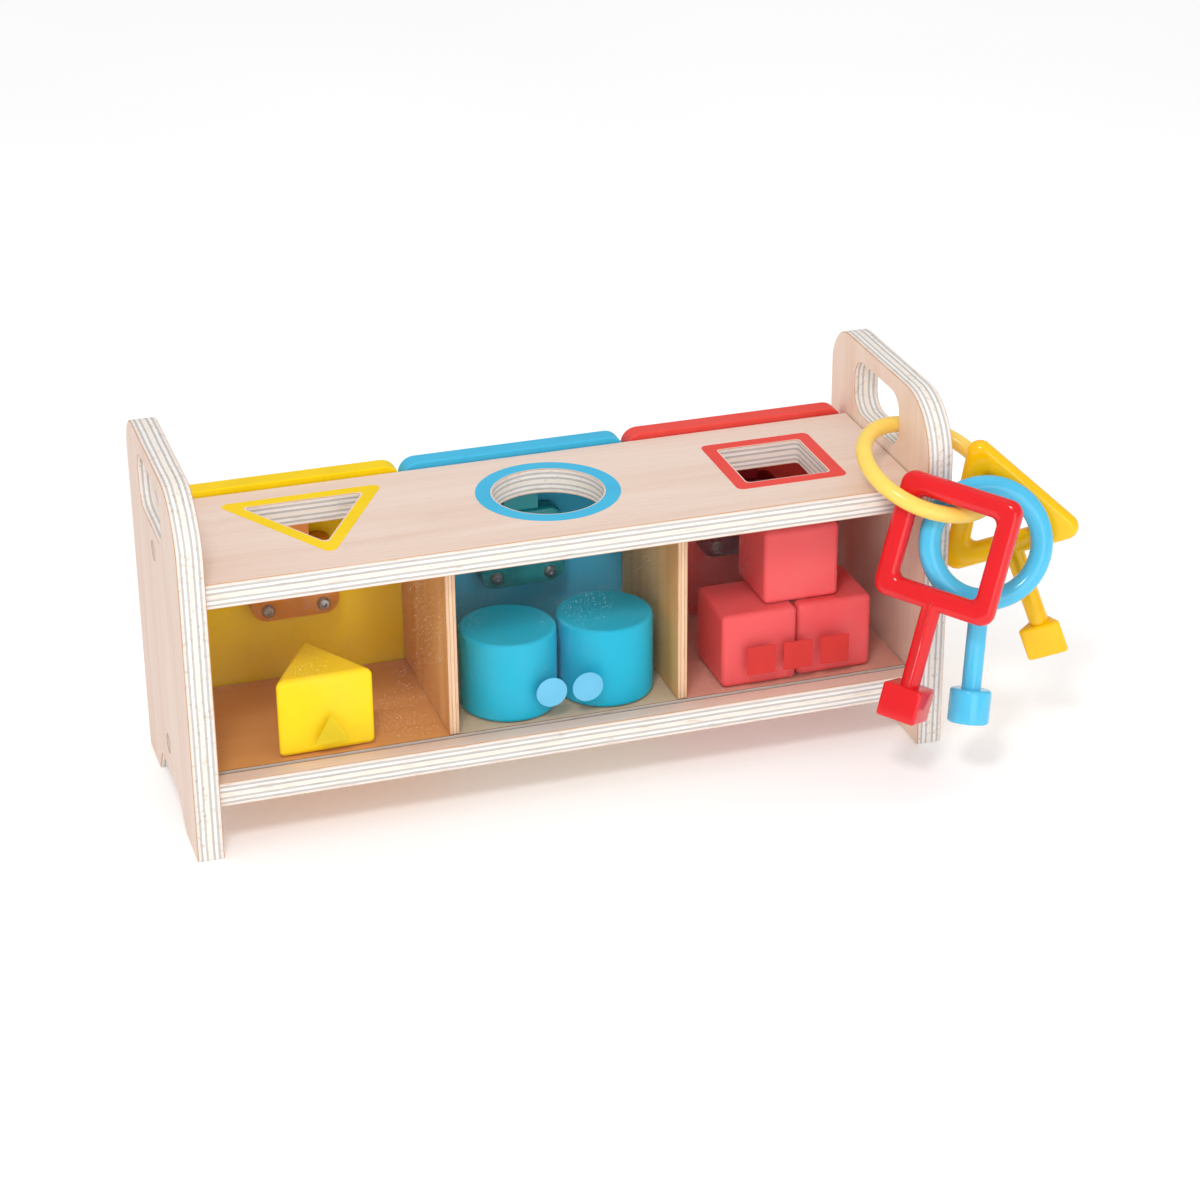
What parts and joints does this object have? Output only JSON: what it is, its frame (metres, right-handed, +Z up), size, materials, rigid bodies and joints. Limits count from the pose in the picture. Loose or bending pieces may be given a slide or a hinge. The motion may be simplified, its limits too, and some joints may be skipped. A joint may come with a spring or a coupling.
{
  "type": "wooden shape sorter with locked doors",
  "caption": "Plywood shape sorter: shaped holes in the top lead to compartments behind a clear front; hinged rear doors open with shaped keys on a ring.",
  "frame": {"origin": "on the table under the centre of the whole footprint, keys and ring included", "axes": "+X to the right-hand end panel as seen from the clear front, +Y to the doors at the rear, +Z up"},
  "size_m": [0.3478, 0.1434, 0.145],
  "materials": {
    "acrylic": "clear acrylic sheet",
    "beech": "beech dowel",
    "birch": "clear-sealed birch plywood",
    "birch_thin": "thin plywood",
    "blue_paint": "satin blue paint on plywood",
    "blue_plastic": "sky blue plastic",
    "maroon_clear": "clear dark red plastic",
    "orange_clear": "clear orange plastic",
    "red_paint": "satin red paint on plywood",
    "red_plastic": "red plastic",
    "ring_plastic": "pale orange-yellow plastic",
    "steel": "zinc-plated steel",
    "teal_clear": "clear teal plastic",
    "yellow_paint": "satin yellow paint on plywood",
    "yellow_plastic": "yellow plastic"
  },
  "bodies": {
    "frame": {"left_end_panel": "birch", "right_end_panel": "birch", "top_shelf": "birch", "bottom_shelf": "birch", "left_divider": "birch_thin", "right_divider": "birch_thin", "front_window": "acrylic", "door_hinge_rod": "steel", "left_top_screw": "steel", "left_bottom_screw": "steel", "right_top_screw": "steel", "right_bottom_screw": "steel", "left_top_front_dowel": "beech", "left_top_rear_dowel": "beech", "left_bottom_front_dowel": "beech", "left_bottom_rear_dowel": "beech", "right_top_front_dowel": "beech", "right_top_rear_dowel": "beech", "right_bottom_front_dowel": "beech", "right_bottom_rear_dowel": "beech"},
    "yellow_door_leaf": {"yellow_door": "yellow_paint", "yellow_lock_housing": "orange_clear", "yellow_lock_screw_left": "steel", "yellow_lock_screw_right": "steel"},
    "yellow_rotor": {"yellow_lock_rotor": "yellow_plastic"},
    "yellow_bolt": {"yellow_lock_bolt": "orange_clear"},
    "blue_door_leaf": {"blue_door": "blue_paint", "blue_lock_housing": "teal_clear", "blue_lock_screw_left": "steel", "blue_lock_screw_right": "steel"},
    "blue_rotor": {"blue_lock_rotor": "blue_plastic"},
    "blue_bolt": {"blue_lock_bolt": "teal_clear"},
    "red_door_leaf": {"red_door": "red_paint", "red_lock_housing": "maroon_clear", "red_lock_screw_left": "steel", "red_lock_screw_right": "steel"},
    "red_rotor": {"red_lock_rotor": "red_plastic"},
    "red_bolt": {"red_lock_bolt": "maroon_clear"},
    "yellow_prism": {"yellow_prism": "yellow_paint"},
    "blue_cylinder_left": {"blue_cylinder_left": "blue_paint"},
    "blue_cylinder_right": {"blue_cylinder_right": "blue_paint"},
    "red_cube_top": {"red_cube_top": "red_paint"},
    "red_cube_left": {"red_cube_left": "red_paint"},
    "red_cube_right": {"red_cube_right": "red_paint"},
    "key_ring": {"key_ring": "ring_plastic"},
    "red_key": {"red_key": "red_plastic"},
    "blue_key": {"blue_key": "blue_plastic"},
    "yellow_key": {"yellow_key": "yellow_plastic"}
  },
  "joints": [
    {"name": "yellow_door_hinge", "type": "hinge", "parent": "frame", "child": "yellow_door_leaf", "pos_m": [-0.11677, 0.05949, 0.0245], "axis": [-1, 0, 0], "range_deg": [0, 100]},
    {"name": "yellow_lock_turn", "type": "hinge", "parent": "yellow_door_leaf", "child": "yellow_rotor", "pos_m": [-0.11677, 0.05239, 0.075], "axis": [0, 1, 0], "range_deg": [0, 90], "stiffness_Nm_per_rad": 0.01, "springref_deg": -11.46},
    {"name": "yellow_bolt_slide", "type": "slide", "parent": "yellow_door_leaf", "child": "yellow_bolt", "axis": [0, 0, 1], "range_m": [-0.0058, 0]},
    {"name": "blue_door_hinge", "type": "hinge", "parent": "frame", "child": "blue_door_leaf", "pos_m": [-0.02422, 0.05949, 0.0245], "axis": [-1, 0, 0], "range_deg": [0, 100]},
    {"name": "blue_lock_turn", "type": "hinge", "parent": "blue_door_leaf", "child": "blue_rotor", "pos_m": [-0.02422, 0.05239, 0.075], "axis": [0, 1, 0], "range_deg": [0, 90], "stiffness_Nm_per_rad": 0.01, "springref_deg": -11.46},
    {"name": "blue_bolt_slide", "type": "slide", "parent": "blue_door_leaf", "child": "blue_bolt", "axis": [0, 0, 1], "range_m": [-0.0058, 0]},
    {"name": "red_door_hinge", "type": "hinge", "parent": "frame", "child": "red_door_leaf", "pos_m": [0.06833, 0.05949, 0.0245], "axis": [-1, 0, 0], "range_deg": [0, 100]},
    {"name": "red_lock_turn", "type": "hinge", "parent": "red_door_leaf", "child": "red_rotor", "pos_m": [0.06833, 0.05239, 0.075], "axis": [0, 1, 0], "range_deg": [0, 90], "stiffness_Nm_per_rad": 0.01, "springref_deg": -11.46},
    {"name": "red_bolt_slide", "type": "slide", "parent": "red_door_leaf", "child": "red_bolt", "axis": [0, 0, 1], "range_m": [-0.0058, 0]},
    {"name": "yellow_prism_move", "type": "slide", "parent": "frame", "child": "yellow_prism", "axis": [0, 0, 1], "range_m": [0, 0.03]},
    {"name": "blue_cylinder_left_move", "type": "slide", "parent": "frame", "child": "blue_cylinder_left", "axis": [0, 0, 1], "range_m": [0, 0.03]},
    {"name": "blue_cylinder_right_move", "type": "slide", "parent": "frame", "child": "blue_cylinder_right", "axis": [0, 0, 1], "range_m": [0, 0.03]},
    {"name": "red_cube_top_move", "type": "slide", "parent": "frame", "child": "red_cube_top", "axis": [0, 0, 1], "range_m": [0, 0.008]},
    {"name": "red_cube_left_move", "type": "slide", "parent": "frame", "child": "red_cube_left", "axis": [1, 0, 0], "range_m": [-0.01, 0]},
    {"name": "red_cube_right_move", "type": "slide", "parent": "frame", "child": "red_cube_right", "axis": [1, 0, 0], "range_m": [0, 0.008]},
    {"name": "ring_lift", "type": "hinge", "parent": "frame", "child": "key_ring", "pos_m": [0.12113, 0.00519, 0.124], "axis": [-1, 0, 0], "range_deg": [0, 10]},
    {"name": "red_key_swing", "type": "hinge", "parent": "key_ring", "child": "red_key", "pos_m": [0.11721, -0.04443, 0.10724], "axis": [0.6732, 0.6637, -0.3261], "range_deg": [-5, 5]},
    {"name": "blue_key_swing", "type": "hinge", "parent": "key_ring", "child": "blue_key", "pos_m": [0.13362, -0.03959, 0.105], "axis": [0.2041, 0.9246, -0.3218], "range_deg": [-4, 3]},
    {"name": "yellow_key_swing", "type": "hinge", "parent": "key_ring", "child": "yellow_key", "pos_m": [0.14363, -0.02777, 0.1068], "axis": [0.4863, 0.873, -0.037], "range_deg": [-4, 1]}
  ],
  "couplings": [
    {"joint": "yellow_bolt_slide", "follows": "yellow_lock_turn", "m_per_rad": -0.0036034},
    {"joint": "blue_bolt_slide", "follows": "blue_lock_turn", "m_per_rad": -0.0036034},
    {"joint": "red_bolt_slide", "follows": "red_lock_turn", "m_per_rad": -0.0036034}
  ]
}
